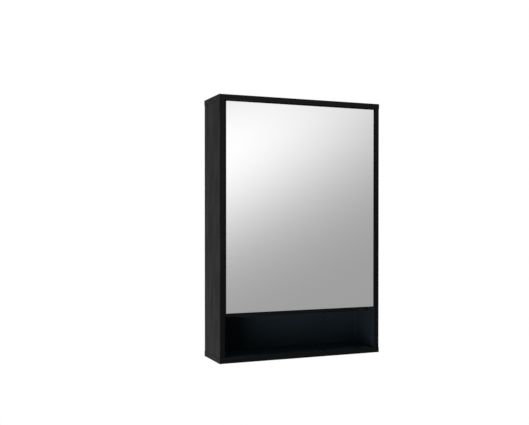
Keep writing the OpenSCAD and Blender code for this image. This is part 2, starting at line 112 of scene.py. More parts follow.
# %% A wrapped socket
class Wire:
    """One output socket of a node, with the arithmetic of its value."""

    def __init__(self, tree, socket=None):
        self.tree = tree
        self.socket = socket

    def node(self, kind, settings=None, sockets=None, out=0):
        made = self.tree.nodes.new(kind)
        for name, value in (settings or {}).items():
            setattr(made, name, value)
        for name, value in (sockets or {}).items():
            if isinstance(value, Wire):
                self.tree.links.new(value.socket, made.inputs[name])
            else:
                made.inputs[name].default_value = value
        return Wire(self.tree, made.outputs[out] if made.outputs else None)

    def math(self, operation, *values):
        return self.node("ShaderNodeMath", {"operation": operation}, dict(enumerate(values)))

    def __add__(self, other):
        return self.math("ADD", self, other)

    def __sub__(self, other):
        return self.math("SUBTRACT", self, other)

    def __rsub__(self, other):
        return self.math("SUBTRACT", other, self)

    def __mul__(self, other):
        return self.math("MULTIPLY", self, other)

    def __truediv__(self, other):
        return self.math("DIVIDE", self, other)

    __radd__ = __add__
    __rmul__ = __mul__

    def size(self):
        """The value without its sign."""
        return self.math("ABSOLUTE", self)

    def between(self, low, high):
        """0 below low, 1 above high, and smooth in between."""
        return self.node(
            "ShaderNodeMapRange", {"interpolation_type": "SMOOTHSTEP"},
            {"Value": self, "From Min": low, "From Max": high},
        )

    def mix(self, first, second):
        """The first colour where this value is 0, and the second where it is 1."""
        return self.node(
            "ShaderNodeMix", {"data_type": "RGBA"}, {0: self, 6: first, 7: second}, out=2
        )

    def axis(self, number):
        return self.node("ShaderNodeSeparateXYZ", {}, {0: self}, out=number)

    def stretched(self, factors):
        """This place, with each of its axes multiplied."""
        return self.node(
            "ShaderNodeVectorMath", {"operation": "MULTIPLY"}, {0: self, 1: factors}
        )

    def noise(self, factors, detail=3.0, roughness=0.5):
        return self.node(
            "ShaderNodeTexNoise", {},
            {"Vector": self.stretched(factors), "Scale": 1.0, "Detail": detail,
             "Roughness": roughness},
        )


def grey(value):
    return (value, value, value, 1.0)


# %% [markdown]
# ## A recipe for a finish
# Every finish is one Principled shader. `finish` makes the material, hands the recipe a wire
# that carries the place on the piece, and sets what the recipe returns. A height in metres
# goes through a Bump node, whose distance is 1 because the height is already a real size.
# What is the same all over, such as the specular level, is set on the shader's own socket.


# %% Make a material from a recipe
def finish(name, recipe, **constants):
    material = bpy.data.materials.new(name)
    material.use_nodes = True
    tree = material.node_tree
    shader = tree.nodes["Principled BSDF"]
    place = Wire(tree).node("ShaderNodeTexCoord", out="Object")
    for socket, value in recipe(place).items():
        if socket == "height":
            bump = place.node("ShaderNodeBump", {}, {"Height": value, "Distance": 1.0})
            tree.links.new(bump.socket, shader.inputs["Normal"])
        elif isinstance(value, Wire):
            tree.links.new(value.socket, shader.inputs[socket])
        else:
            shader.inputs[socket].default_value = value
    for socket, value in constants.items():
        shader.inputs[socket.replace("_", " ")].default_value = value
    return material


# %% [markdown]
# ## Where the cabinet looks at itself
# The faces inside the case have another film than those outside, though a board has both.
# Two masks tell them apart by the place on the piece, with limits taken from the boards'
# own boxes. They reach 0.2 mm past each face, so that the face itself is surely inside.

# %% Masks for the inside
SIDE_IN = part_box("right_side_panel")[0].x
NICHE_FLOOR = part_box("bottom_panel")[1].z
INNER_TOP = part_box("top_panel")[0].z
FACE_MARGIN = 0.2 * MM
X_AXIS, Y_AXIS, Z_AXIS = 0, 1, 2


def between_sides(place):
    """1 on the faces that look at each other across the cabinet, and all between them."""
    return place.math("LESS_THAN", place.axis(X_AXIS).size(), SIDE_IN + FACE_MARGIN)


def between_ends(place):
    """1 between the bottom panel's upper face and the top panel's lower face."""
    z = place.axis(Z_AXIS)
    above_floor = place.math("GREATER_THAN", z, NICHE_FLOOR - FACE_MARGIN)
    below_top = place.math("LESS_THAN", z, INNER_TOP + FACE_MARGIN)
    return above_floor * below_top * between_sides(place)


# %% [markdown]
# ## Charcoal wood-grain board
# The boards are chipboard faced with melamine: a printed wood decor under a hard skin that is
# embossed with fine pores. Noises stretched along the grain make it: broad patches, the bands
# of the growth rings, thin streaks, and the pores, which are also pressed in as bump. The
# inside faces have a plainer, cooler black film. On the niche's floor the same film is made
# lighter as painted light, standing in for the light that falls on the floor. A last mask
# shows the paler core of the board, where the saw cut the groove for the back.

# %% Charcoal board
BACK_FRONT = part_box("back_panel")[0].y
SAWN_EDGE = 3.2 * MM
TONE_LIGHT = 0.045
TONE_DARK = 0.0105
INSIDE_BLACK = (0.0122, 0.0186, 0.0248, 1.0)
INSIDE_STREAK = (0.0158, 0.0240, 0.0315, 1.0)
SAWN_CORE = (0.055, 0.080, 0.098, 1.0)


def along(axis, across, lengthwise):
    """Noise factors that are drawn out along one axis."""
    factors = [across, across, across]
    factors[axis] = lengthwise
    return tuple(factors)


def lighter(colour, factor):
    red, green, blue, alpha = colour
    return (red * factor, green * factor, blue * factor, alpha)


def charcoal(grain, inside_mask=None, painted_light_gain=1.0):
    def recipe(place):
        patch = place.noise(along(grain, 45.0, 8.0), 3.0, 0.6)
        ring = place.noise(along(grain, 170.0, 14.0), 4.0, 0.65)
        streak = place.noise(along(grain, 520.0, 40.0), 3.0, 0.65)
        pore = place.noise(along(grain, 1500.0, 60.0), 2.0, 0.7)
        tone = (patch * 0.30 + ring * 0.38 + streak * 0.32).between(0.38, 0.62)
        pores = pore.between(0.56, 0.68)
        colour = tone.mix(grey(TONE_DARK), grey(TONE_LIGHT))
        colour = (pores * 0.5).mix(colour, grey(0.006))
        height = pores * -0.00004 + streak * 0.00002
        if inside_mask is not None:
            inside = inside_mask(place)
            # A gain above 1 lightens the inside film as painted light, used on the niche's floor.
            plain = streak.mix(lighter(INSIDE_BLACK, painted_light_gain), lighter(INSIDE_STREAK, painted_light_gain))
            sawn = place.axis(Y_AXIS).between(BACK_FRONT - SAWN_EDGE, BACK_FRONT - 0.4 * SAWN_EDGE)
            colour = inside.mix(colour, sawn.mix(plain, SAWN_CORE))
            height = height * (1 - inside * 0.7)
        return {"Base Color": colour, "Roughness": 0.5 + 0.12 * streak, "height": height}

    return recipe


DULL = {"Specular_IOR_Level": 0.08}
side_board = finish("charcoal_upright", charcoal(Z_AXIS, between_sides), **DULL)
end_board = finish("charcoal_level", charcoal(X_AXIS, between_ends), **DULL)
# The niche's floor has the inside film 1.6 times lighter: painted light for the light falling on it.
painted_lit_floor_board = finish("charcoal_niche_floor_painted_light", charcoal(X_AXIS, between_ends, 1.6), **DULL)
door_back = finish("charcoal_door", charcoal(Z_AXIS), Specular_IOR_Level=0.25)
shelf_board = finish("charcoal_shelf", charcoal(X_AXIS), Specular_IOR_Level=0.25)

# %% [markdown]
# ## Black back panel
# The back is thin hardboard with a black film, which is slightly cloudy and flecked. Two
# noises of very different size make that: one has features of some centimetres, and the
# other of about a millimetre. The roughness follows the clouds.


# %% Back panel's film
def back_film(place):
    fleck = place.noise((900.0, 900.0, 900.0), 2.0)
    cloud = place.noise((9.0, 9.0, 9.0), 3.0)
    blend = (cloud * 0.6 + fleck * 0.4).between(0.3, 0.7)
    colour = blend.mix((0.0222, 0.0335, 0.0430, 1), (0.0282, 0.0412, 0.0520, 1))
    return {"Base Color": colour, "Roughness": 0.55 + 0.1 * cloud, "height": fleck * 0.00001}


back_black = finish("black_film", back_film, Specular_IOR_Level=0.05)

# %% [markdown]
# ## Edging
# The edging is a plastic strip that is glued on and trimmed, smooth but for the faint ripple
# of the trimming knife along its length. It comes in two grain directions, because the
# ripple runs along an upright strip and along a level one.


# %% Edging plastic
def edging_plastic(grain):
    def recipe(place):
        ripple = place.noise(along(grain, 140.0, 900.0), 1.0)
        smear = place.noise((40.0, 40.0, 40.0), 4.0, 0.6)
        return {
            "Base Color": smear.mix((0.0016, 0.0020, 0.0024, 1), (0.0026, 0.0031, 0.0036, 1)),
            "Roughness": 0.16 + 0.08 * smear,
            "height": ripple * 0.000001,
        }

    return recipe


edge_upright = finish("edging_upright", edging_plastic(Z_AXIS), Specular_IOR_Level=0.14)
edge_level = finish("edging_level", edging_plastic(X_AXIS), Specular_IOR_Level=0.15)

# %% [markdown]
# ## Mirror
# Silvered glass is three finishes on one pane: the front is a perfect metal reflection, very
# slightly green from the glass in front of the silver; the ground edges are pale green and
# satin; and the rear is the grey paint that protects the silver.

# %% Mirror's three finishes
MIRROR_TINT = 0.93


def silver(place):
    smear = place.noise((7.0, 7.0, 7.0), 4.0, 0.6)
    colour = smear.mix((MIRROR_TINT - 0.004, MIRROR_TINT, MIRROR_TINT - 0.002, 1), grey(MIRROR_TINT))
    return {"Base Color": colour, "Metallic": 1.0, "Roughness": 0.0}


def ground_glass(place):
    grit = place.noise((2600.0, 2600.0, 2600.0), 2.0)
    return {"Base Color": grit.mix((0.045, 0.060, 0.055, 1), (0.075, 0.098, 0.090, 1)),
            "Roughness": 0.30 + 0.15 * grit}


def backing_paint(place):
    drag = place.noise((60.0, 60.0, 900.0), 3.0)
    return {"Base Color": drag.mix((0.085, 0.095, 0.10, 1), (0.11, 0.12, 0.125, 1)),
            "Roughness": 0.45 + 0.2 * drag, "height": drag * 0.00002}


mirror_silver = finish("mirror_silver", silver)
glass_edge = finish("ground_glass_edge", ground_glass)
mirror_back = finish("mirror_backing", backing_paint)

# %% [markdown]
# ## Metals of the fittings
# Small parts show their making. Zinc plating has a fine crystal mottle and the drawn wire's
# faint lines. Powder coat has an orange-peel surface, and a zinc casting is cloudy and
# duller. Metallic is 1 on the bare metals only, because the coat is a plastic.


# %% Metals
def plated_steel(place):
    mottle = place.noise((1800.0, 1800.0, 1800.0), 2.0)
    brush = place.noise((300.0, 300.0, 4000.0), 2.0)
    colour = mottle.mix((0.50, 0.51, 0.53, 1), (0.66, 0.66, 0.65, 1))
    return {"Base Color": colour, "Metallic": 1.0, "Roughness": 0.26 + 0.16 * brush}


def black_coat(place):
    peel = place.noise((1500.0, 1500.0, 1500.0), 1.0)
    return {
        "Base Color": peel.mix(grey(0.006), grey(0.011)),
        "Roughness": 0.42 + 0.1 * peel,
        "height": peel * 0.00002,
    }


def cast_zinc(place):
    cloud = place.noise((500.0, 500.0, 500.0), 3.0)
    return {
        "Base Color": cloud.mix((0.33, 0.33, 0.34, 1), (0.47, 0.47, 0.48, 1)),
        "Metallic": 1.0,
        "Roughness": 0.42 + 0.15 * cloud,
        "height": cloud * 0.00003,
    }


zinc = finish("zinc_plated_steel", plated_steel)
black_steel = finish("black_powder_coat", black_coat, Specular_IOR_Level=0.2)
die_cast = finish("die_cast_zinc", cast_zinc)

# %% [markdown]
# ## Beech, nylon and moulded plastic
# A beech dowel has growth bands and short dark rays, both drawn out along it. Nylon is
# smooth and waxy, while the catch and the stops carry the fine spark-eroded grain of their
# mould as bump.


# %% Wood and plastics
def beech_wood(place):
    ray = place.noise((2500.0, 2500.0, 300.0), 2.0)
    band = place.noise((700.0, 700.0, 60.0), 2.0)
    colour = band.mix((0.50, 0.31, 0.16, 1), (0.62, 0.43, 0.25, 1))
    colour = (ray.between(0.6, 0.7) * 0.5).mix(colour, (0.25, 0.13, 0.06, 1))
    return {"Base Color": colour, "Roughness": 0.7, "height": ray * 0.00004}


def black_nylon(place):
    cloud = place.noise((600.0, 600.0, 600.0), 2.0)
    return {"Base Color": cloud.mix(grey(0.007), grey(0.012)), "Roughness": 0.38 + 0.1 * cloud}


def moulded_black(place):
    spark = place.noise((4000.0, 4000.0, 4000.0), 1.0)
    return {"Base Color": spark.mix(grey(0.008), grey(0.014)), "Roughness": 0.45 + 0.15 * spark,
            "height": spark * 0.00002}


beech = finish("beech", beech_wood)
nylon = finish("black_nylon", black_nylon, Specular_IOR_Level=0.2)
plastic = finish("moulded_black", moulded_black)

# %% [markdown]
# ## Magnet, rubber and foam
# Ferrite is a pressed and baked powder, so it is crumbly and only half metallic. The stops'
# pads are clear soft rubber, made here as a pale solid colour, and the tape that carries the
# mirror is black foam with visible cells.


# %% Magnet, rubber and foam
def sintered_ferrite(place):
    crumb = place.noise((2500.0, 2500.0, 2500.0), 3.0)
    return {"Base Color": crumb.mix(grey(0.035), grey(0.075)), "Roughness": 0.5 + 0.2 * crumb,
            "Metallic": 0.4, "height": crumb * 0.00003}


def soft_rubber(place):
    cloud = place.noise((800.0, 800.0, 800.0), 2.0)
    return {"Base Color": cloud.mix((0.55, 0.56, 0.55, 1), (0.66, 0.66, 0.64, 1)),
            "Roughness": 0.3 + 0.1 * cloud}


def cell_foam(place):
    cell = place.noise((3000.0, 3000.0, 3000.0), 2.0)
    return {"Base Color": cell.mix(grey(0.010), grey(0.025)), "Roughness": 0.85,
            "height": cell * 0.00006}


ferrite = finish("ferrite", sintered_ferrite)
rubber = finish("clear_rubber", soft_rubber)
foam = finish("foam_tape", cell_foam)

# %% [markdown]
# ## How a piece takes its solid's place
# Each piece made below stands for one node of the solid model. It hides that node and moves
# with the node's body, which is looked up once here, and takes the finish handed to it.

# %% Stand for a solid
BODY_OF = {
    name: body for body, members in frame["record"]["behaviour"]["bodies"].items()
    for name in members
}
WELD = 0.001 * MM


def stand_for(node, name, shape, *materials):
    mesh = bpy.data.meshes.new(name)
    shape.to_mesh(mesh)
    shape.free()
    for material in materials:
        mesh.materials.append(material)
    piece = bpy.data.objects.new(name, mesh)
    bpy.context.scene.collection.objects.link(piece)
    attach(piece, BODY_OF[node])
    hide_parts(node)
    print(name, "stands for", node, "with", len(mesh.polygons), "faces")
    return piece


# %% [markdown]
# ## Boards with eased edges
# A sawn and faced board has its sharp edges broken with a stroke of abrasive, and those tiny
# bevels draw the seams between the boards. The solid model already holds each board's holes
# and grooves, so a copy of its mesh is the best start. The copy is welded, its coplanar
# triangles are dissolved into whole faces, and only the long outer edges are bevelled: a
# hole's rim is a ring of short edges, and an inner corner isn't convex.

# %% Ease the long edges
FLAT = math.radians(0.5)
CORNER = math.radians(40)


def welded_copy(node):
    shape = bmesh.new()
    shape.from_mesh(nodes[node].data)
    bmesh.ops.remove_doubles(shape, verts=shape.verts, dist=WELD)
    bmesh.ops.dissolve_limit(
        shape, angle_limit=FLAT, use_dissolve_boundaries=False,
        verts=shape.verts, edges=shape.edges,
    )
    return shape


def ease(shape, offset, shortest, segments=2):
    long_edges = [
        edge for edge in shape.edges
        if edge.is_manifold and edge.is_convex
        and edge.calc_face_angle() > CORNER and edge.calc_length() > shortest
    ]
    for face in shape.faces:
        face.smooth = False
    eased = bmesh.ops.bevel(
        shape, geom=long_edges, affect="EDGES", offset=offset, offset_type="OFFSET",
        segments=segments, profile=0.5, clamp_overlap=True, material=-1,
    )
    for face in eased["faces"]:
        face.smooth = True
    return shape


# %% [markdown]
# ## The boards
# Every board and the back sheet goes through the same easing. The table gives each node its
# new piece's name and its finish, with the grain upright on the sides and the door, and
# level on everything that lies across the cabinet.

# %% Boards
BOARD_EASE = 0.45 * MM
BOARDS = {
    "top_panel": ("top_board", end_board),
    "bottom_panel": ("bottom_board", painted_lit_floor_board),
    "left_side_panel": ("left_side_board", side_board),
    "right_side_panel": ("right_side_board", side_board),
    "divider": ("divider_board", shelf_board),
    "hanging_rail": ("hanging_rail_board", shelf_board),
    "lower_rail": ("lower_rail_board", shelf_board),
    "lower_shelf": ("lower_shelf_board", shelf_board),
    "upper_shelf": ("upper_shelf_board", shelf_board),
    "door_board": ("door_core_board", door_back),
    "back_panel": ("back_sheet", back_black),
}
for node, (name, material) in BOARDS.items():
    stand_for(node, name, ease(welded_copy(node), BOARD_EASE, 9 * MM), material)

# %% [markdown]
# ## Finding each small solid
# Screws, dowels and pins of one kind share a node. To set a turned piece in each one's place,
# the node's welded mesh is walked from point to point along its edges: what can be reached is
# one solid. Its longest or shortest axis is the axis that it was turned on, and the end that
# spreads wider is its head.

# %% Seats for turned pieces
UP = Vector((0.0, 0.0, 1.0))


def solids(node):
    """The points of each separate solid of a node."""
    shape = bmesh.new()
    shape.from_mesh(nodes[node].data)
    bmesh.ops.remove_doubles(shape, verts=shape.verts, dist=WELD)
    found = []
    for start in shape.verts:
        if start.tag:
            continue
        start.tag = True
        reached, waiting = [], [start]
        while waiting:
            vert = waiting.pop()
            reached.append(vert.co.copy())
            for edge in vert.link_edges:
                other = edge.other_vert(vert)
                if not other.tag:
                    other.tag = True
                    waiting.append(other)
        found.append(reached)
    shape.free()
    return found


# %% [markdown]
# `rotation_difference` gives the turn that takes +Z onto the solid's axis. A flat solid, such
# as a washer, was turned on its shortest axis, and a long one on its longest.


# %% The seat of one solid
def seat(points, flat=False):
    """A solid's length, and the matrix that sets +Z on its axis, from its head's face on."""
    low = Vector(min(point[axis] for point in points) for axis in range(3))
    high = Vector(max(point[axis] for point in points) for axis in range(3))
    size, middle = high - low, (high + low) / 2
    pick = min if flat else max
    axis = pick(range(3), key=lambda number: size[number])

    def spread(end):
        rim = [point - middle for point in points if abs(point[axis] - end) < WELD]
        for offset in rim:
            offset[axis] = 0.0
        return max(offset.length for offset in rim)

    head_is_low = spread(low[axis]) >= spread(high[axis]) - WELD
    start = middle.copy()
    start[axis] = low[axis] if head_is_low else high[axis]
    direction = Vector((0.0, 0.0, 0.0))
    direction[axis] = 1.0 if head_is_low else -1.0
    turn = UP.rotation_difference(direction).to_matrix().to_4x4()
    return size[axis], Matrix.Translation(start) @ turn


# %% [markdown]
# ## Holes through a strip
# The pivot's bushes and the bracket's screws pass through the strips. The faces that a hole
# pierces are taken out, and a circle is drawn in each. `triangle_fill` closes the area between
# the outline and the circles, because it leaves an outline within an outline open. Then
# `bridge_loops` joins each pair of circles, which makes the bore's wall.

# %% Bores
BORE_STEPS = 32
FACING = 0.99
PIN_LOW, PIN_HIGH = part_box("lower_pivot_pin")
PIN_PLACE = (PIN_LOW + PIN_HIGH) / 2
PIN_R = (PIN_HIGH.x - PIN_LOW.x) / 2 / MM
BORE_R = PIN_R + 0.05
BUSH_R = BORE_R + 1.2
SCREW_BORE_R = 1.55


def pierced_by(face, centre, axis):
    """Whether a line along the axis through the centre goes through this face."""
    across = [number for number in range(3) if number != axis]
    return abs(face.normal[axis]) > FACING and all(
        min(vert.co[number] for vert in face.verts) < centre[number]
        < max(vert.co[number] for vert in face.verts)
        for number in across
    )


def draw_circle(shape, centre, axis, radius):
    """The edges of a circle that lies square to the axis."""
    line = Vector((0.0, 0.0, 0.0))
    line[axis] = 1.0
    turn = UP.rotation_difference(line).to_matrix().to_4x4()
    ring = bmesh.ops.create_circle(
        shape, cap_ends=False, segments=BORE_STEPS, radius=radius,
        matrix=Matrix.Translation(centre) @ turn,
    )["verts"]
    return list({edge for vert in ring for edge in vert.link_edges})


def open_face(shape, face, centres, axis, radius):
    """Swaps a face for one with a round opening at each centre, and returns their rims."""
    outline, normal = list(face.edges), face.normal.copy()
    plane = face.calc_center_median()[axis]
    circles = []
    for centre in centres:
        place = Vector(centre)
        place[axis] = plane
        circles.append(draw_circle(shape, place, axis, radius))
    bmesh.ops.delete(shape, geom=[face], context="FACES_ONLY")
    bmesh.ops.triangle_fill(
        shape, edges=outline + [edge for circle in circles for edge in circle],
        use_beauty=True, use_dissolve=False, normal=normal,
    )
    return circles


# %% [markdown]
# The pierced faces are put in order along the axis, so that each two in turn are the two
# sides of one strip. The bores that join them are smooth, and their rims stay sharp.


# %% Bore through every strip on a line
def add_bores(shape, centres, axis, radius):
    """Round holes through the strips that a line through the first centre pierces."""
    pierced = [face for face in shape.faces if pierced_by(face, centres[0], axis)]
    pierced.sort(key=lambda face: face.calc_center_median()[axis])
    rims = [open_face(shape, face, centres, axis, radius * MM) for face in pierced]
    for near, far in zip(rims[::2], rims[1::2]):
        for first, second in zip(near, far):
            wall = bmesh.ops.bridge_loops(shape, edges=first + second)
            for face in wall["faces"]:
                face.smooth = True
    bmesh.ops.recalc_face_normals(shape, faces=shape.faces)


# %% [markdown]
# ## Edging strips
# The strip's outer corners are rounded by the trimming machine with a radius nearly as large
# as the strip is thick. Each strip starts as a cube that is stretched between two corners,
# and the two long edges of its outer face are bevelled with enough segments to be round.

# %% Rounded strips
EDGING_ROUND = 0.9
ROUND_SEGMENTS = 5


def add_block(shape, low, high):
    size = Vector(high) - Vector(low)
    middle = (Vector(high) + Vector(low)) / 2
    place = Matrix.Translation(middle) @ Matrix.Diagonal((*size, 1.0))
    return bmesh.ops.create_cube(shape, size=1.0, matrix=place)["verts"]


def add_strip(shape, low, high, out_axis, out_sign, thickness):
    """A strip whose outer face looks along out_axis, with that face's long edges rounded."""
    verts = add_block(shape, low, high)
    outermost = (high if out_sign > 0 else low)[out_axis]
    long_axis = max(range(3), key=lambda axis: high[axis] - low[axis])
    edges = {edge for vert in verts for edge in vert.link_edges}
    outer = [
        edge for edge in shape.edges
        if edge in edges
        and all(abs(vert.co[out_axis] - outermost) < WELD for vert in edge.verts)
        and abs(edge.verts[0].co[long_axis] - edge.verts[1].co[long_axis]) > WELD
    ]
    rounded = bmesh.ops.bevel(
        shape, geom=outer, affect="EDGES", offset=EDGING_ROUND * thickness,
        offset_type="OFFSET", segments=ROUND_SEGMENTS, profile=0.5, material=-1,
    )
    for face in rounded["faces"]:
        face.smooth = True


# %% [markdown]
# The case has a strip on the front edge of each of its four boards. All of them look
# forwards, so each needs only its own box from the solid model.

# %% Strips on the case
EDGING_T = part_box("top_panel")[0].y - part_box("top_edging")[0].y
CARCASS_EDGINGS = {
    "top_edging": ("top_strip", edge_level),
    "bottom_edging": ("bottom_strip", edge_level),
    "left_edging": ("left_strip", edge_upright),
    "right_edging": ("right_strip", edge_upright),
}
for node, (name, material) in CARCASS_EDGINGS.items():
    strip = bmesh.new()
    add_strip(strip, *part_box(node), Y_AXIS, -1, EDGING_T)
    stand_for(node, name, strip, material)

# %% [markdown]
# The divider's strip is drilled for the two screws of the pivot bracket. They are the pivot
# screws that point back into the board, along Y.

# %% Strip on the divider
screw_seats = [seat(points)[1] for points in solids("pivot_screws")]
bracket_screws = [
    place.translation for place in screw_seats if abs(place.col[Z_AXIS].y) > FACING
]
divider_strip = bmesh.new()
add_strip(divider_strip, *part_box("divider_edging"), Y_AXIS, -1, EDGING_T)
add_bores(divider_strip, bracket_screws, Y_AXIS, SCREW_BORE_R)
stand_for("divider_edging", "divider_strip", divider_strip, edge_level)
print("the divider's strip has", len(bracket_screws), "screw holes")

# %% [markdown]
# The two shelves' strips share a node, so both are added to one mesh. Each one lies against
# its shelf's front face, and is as thick as the strip on the top panel.

# %% Strips on the shelves
shelf_strips = bmesh.new()
for node in ("lower_shelf", "upper_shelf"):
    low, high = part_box(node)
    low, high = Vector((low.x, low.y - EDGING_T, low.z)), Vector((high.x, low.y, high.z))
    add_strip(shelf_strips, low, high, Y_AXIS, -1, EDGING_T)
stand_for("shelf_edgings", "shelf_strips", shelf_strips, edge_level)

# %% [markdown]
# The door's board is edged all round: two upright strips, and two level ones between them.
# The level ones are bored for the pivot's bushes.

# %% Strips on the door
door_low, door_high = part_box("door_edgings")
core_low, core_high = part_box("door_board")
door_strips = bmesh.new()
for sign in (-1, 1):
    inner, outer = sorted((
        (core_low if sign < 0 else core_high).x, (door_low if sign < 0 else door_high).x
    ))
    add_strip(door_strips, Vector((inner, door_low.y, door_low.z)),
              Vector((outer, door_high.y, door_high.z)), X_AXIS, sign, outer - inner)
    inner, outer = sorted((
        (core_low if sign < 0 else core_high).z, (door_low if sign < 0 else door_high).z
    ))
    add_strip(door_strips, Vector((core_low.x, door_low.y, inner)),
              Vector((core_high.x, door_high.y, outer)), Z_AXIS, sign, outer - inner)
add_bores(door_strips, [PIN_PLACE], Z_AXIS, BUSH_R)
stand_for("door_edgings", "door_strips", door_strips, edge_upright)

# %% [markdown]
# ## The mirror's pane
# Cut glass is ground: a belt takes a small flat, called an arris, off every edge. The pane is
# a block whose twelve edges are bevelled with one segment. The three finishes are then given
# out by the way each face looks: forwards, backwards, or to a side.

# %% Pane
ARRIS = 0.5 * MM
pane = bmesh.new()
add_block(pane, *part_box("mirror_glass"))
bmesh.ops.bevel(
    pane, geom=list(pane.edges), affect="EDGES", offset=ARRIS, offset_type="OFFSET",
    segments=1, profile=0.5, material=-1,
)
for face in pane.faces:
    if face.normal.y < -FACING:
        face.material_index = 0
    elif face.normal.y > FACING:
        face.material_index = 2
    else:
        face.material_index = 1
stand_for("mirror_glass", "mirror_pane", pane, mirror_silver, glass_edge, mirror_back)

# %% [markdown]
# ## Pressed and moulded fittings
# The pivot plates are pressed from sheet, and the catch, the stops and the cams come out of
# moulds. All have small radii on their edges. Their holes and pockets are right in the solid
# model, so they too are eased copies, each with a radius that suits how it is made.

# %% Plates, mouldings and castings
EASED_FITTINGS = {
    "upper_pivot_plate": ("upper_plate", zinc, 0.25, 1.0),
    "lower_pivot_bracket": ("lower_bracket", black_steel, 0.3, 1.0),
    "strike_plate": ("strike_sheet", zinc, 0.2, 1.0),
    "catch_housing": ("catch_moulding", plastic, 0.6, 3.0),
    "catch_magnet": ("catch_magnet_bar", ferrite, 0.3, 3.0),
    "door_stops": ("stop_blocks", plastic, 0.9, 5.0),
    "mirror_tapes": ("foam_strips", foam, 0.3, 5.0),
    "cam_housings": ("cams", die_cast, 0.15, 0.8),
}
for node, (name, material, radius, shortest) in EASED_FITTINGS.items():
    fitting = ease(welded_copy(node), radius * MM, shortest * MM, segments=3)
    stand_for(node, name, fitting, material)

# %% [markdown]
# One turned piece is made for each solid, because their lengths may differ. It is moved into
# its seat and added to the node's single mesh by way of a scratch mesh, which is removed.


# %% Fill every seat of a node
def fill_seats(node, name, make_one, material, flat=False):
    """One turned piece in the place of each solid of a node."""
    whole = bmesh.new()
    for points in solids(node):
        length, place = seat(points, flat)
        one = make_one(length)
        bmesh.ops.transform(one, matrix=place, verts=one.verts)
        scratch = bpy.data.meshes.new("scratch")
        one.to_mesh(scratch)
        one.free()
        whole.from_mesh(scratch)
        bpy.data.meshes.remove(scratch)
    return stand_for(node, name, whole, material)


# %% [markdown]
# ## Turning on a lathe
# `bmesh.ops.spin` is the lathe. A profile of a few radius and height points is spun a full
# turn, its points on the axis are welded into one, and the normals are recalculated because
# a spin may come out inside out. Edges that turn by more than the limit are left sharp.

# %% Lathe
LATHE_STEPS = 32
SHARP = math.radians(35)


def shade(shape):
    for face in shape.faces:
        face.smooth = True
    for edge in shape.edges:
        edge.smooth = edge.is_manifold and edge.calc_face_angle() < SHARP
    return shape


def turned(profile, ring=False, steps=LATHE_STEPS):
    """A solid of revolution from (radius, height) points in millimetres."""
    shape = bmesh.new()
    corners = [shape.verts.new((radius * MM, 0.0, height * MM)) for radius, height in profile]
    pairs = list(zip(corners, corners[1:]))
    if ring:
        pairs.append((corners[-1], corners[0]))
    lines = [shape.edges.new(pair) for pair in pairs]
    bmesh.ops.spin(
        shape, geom=corners + lines, cent=(0, 0, 0), axis=UP, dvec=(0, 0, 0),
        angle=math.tau, steps=steps, use_merge=True,
    )
    bmesh.ops.remove_doubles(shape, verts=shape.verts, dist=WELD)
    bmesh.ops.recalc_face_normals(shape, faces=shape.faces)
    return shade(shape)


# %% [markdown]
# ## Pivot pins, bushes and washer
# A pin has a rounded nose at each end so that it finds its bush. The bush has a lead-in at
# its bore, and a rounded flange for the door to ride on. The washer keeps the door's weight
# off the bracket. A bush and a washer are rings, so their profiles close on themselves.

# %% Pivot turnings
FLANGE_T = 0.8
FLANGE_R = BUSH_R + 1.0


def pivot_pin(length):
    tall, nose = length / MM, 0.4
    return turned([
        (0, 0), (PIN_R - nose, 0), (PIN_R - 0.12, 0.12), (PIN_R, nose),
        (PIN_R, tall - nose), (PIN_R - 0.12, tall - 0.12), (PIN_R - nose, tall), (0, tall),
    ])


def bush(length):
    tall = length / MM
    return turned([
        (BORE_R + 0.3, 0), (FLANGE_R - 0.25, 0), (FLANGE_R - 0.07, 0.07), (FLANGE_R, 0.25),
        (FLANGE_R, FLANGE_T), (BUSH_R, FLANGE_T), (BUSH_R, tall - 0.4), (BUSH_R - 0.4, tall),
        (BORE_R + 0.3, tall), (BORE_R, tall - 0.3), (BORE_R, 0.3),
    ], ring=True)


def washer(length):
    tall, soft = length / MM, 0.25
    return turned([
        (BORE_R + soft, 0), (FLANGE_R - soft, 0), (FLANGE_R, soft), (FLANGE_R, tall - soft),
        (FLANGE_R - soft, tall), (BORE_R + soft, tall), (BORE_R, tall - soft), (BORE_R, soft),
    ], ring=True)


fill_seats("upper_pivot_pin", "upper_pin", pivot_pin, zinc)
fill_seats("lower_pivot_pin", "lower_pin", pivot_pin, zinc)
fill_seats("pivot_bushes", "door_bushes", bush, nylon)
fill_seats("pivot_washer", "door_washer", washer, nylon, flat=True)

# %% [markdown]
# ## Caps, shelf pins and pads
# A screw cap is dished a little and has a stem that grips the screw's recess. A shelf pin has
# a groove in its collar and a peg with a chamfered end. A rubber pad is a low dome.


# %% Caps, pegs and pads
def screw_cap(length):
    tall = length / MM
    return turned([(0, 0.22), (3.2, 0.18), (5.2, 0.02), (5.6, 0), (5.9, 0.12), (6, 0.4),
                   (6, 0.8), (1.8, 0.8), (1.8, tall - 0.4), (1.4, tall), (0, tall)])


def shelf_pin(length):
    tall, head = length / MM, 8.0
    return turned([
        (0, 0.25), (1.6, 0.12), (2.9, 0), (3.35, 0.15), (3.5, 0.55), (3.5, 5.6), (3.2, 5.8),
        (3.2, 6.2), (3.5, 6.4), (3.5, head - 0.3), (3.2, head), (2.45, head),
        (2.45, tall - 0.5), (2.0, tall), (0, tall),
    ])


def rubber_pad(length):
    tall = length / MM
    return turned([(0, 0), (1.2, 0.04), (2.2, 0.2), (3.0, 0.5), (3.6, 1.0), (3.9, 1.5),
                   (4.0, tall), (0, tall)])


fill_seats("screw_caps", "cover_caps", screw_cap, plastic, flat=True)
fill_seats("shelf_pins", "shelf_pegs", shelf_pin, zinc)
fill_seats("bumper_pads", "rubber_pads", rubber_pad, rubber, flat=True)

